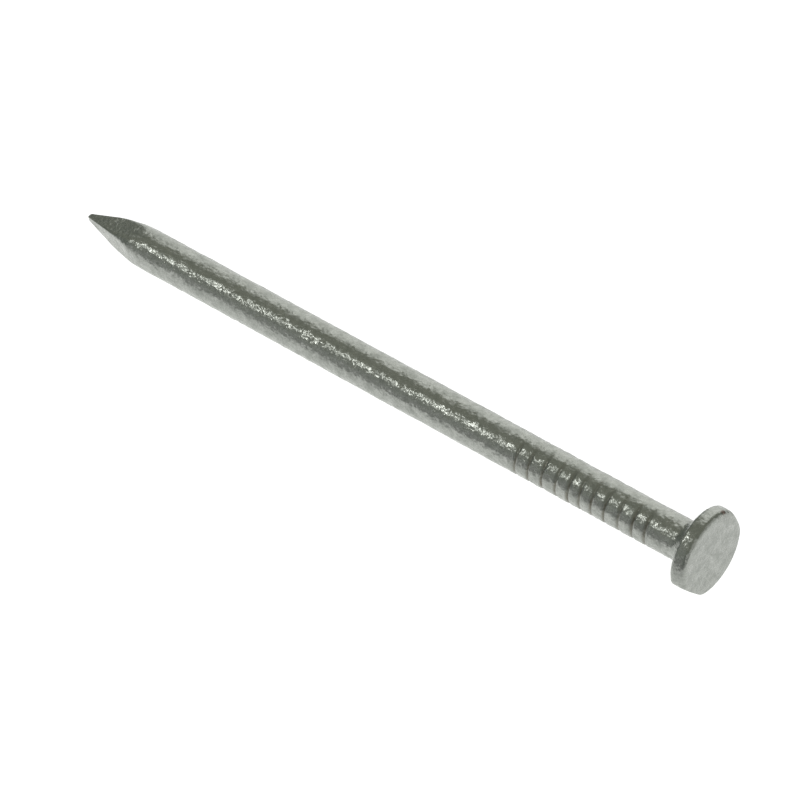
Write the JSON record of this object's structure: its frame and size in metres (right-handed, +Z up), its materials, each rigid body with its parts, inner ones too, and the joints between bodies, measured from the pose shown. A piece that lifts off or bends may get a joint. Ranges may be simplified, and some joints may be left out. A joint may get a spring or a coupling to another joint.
{
  "type": "round wire nail",
  "caption": "Galvanised round wire nail with a flat round head, ring-shaped grip marks under the head and a four-sided diamond point.",
  "frame": {"origin": "centre of the flat struck face of the head, on the shank's axis", "axes": "+X out of the struck face along the shank's axis, so the point is towards -X; +Z up as the nail lies, with one of the three small flats on the head's edge underneath; +Y completes the right-handed set, and the head sits a little to that side of the shank"},
  "size_m": [0.0512, 0.006, 0.0059],
  "materials": {
    "bare_steel": "drawn mild steel wire, bright and plain",
    "galvanised_zinc": "dull grey galvanised zinc, lumpy and mottled"
  },
  "bodies": {
    "root": {"steel_nail": "bare_steel", "galvanised_coating": "galvanised_zinc"}
  },
  "joints": []
}
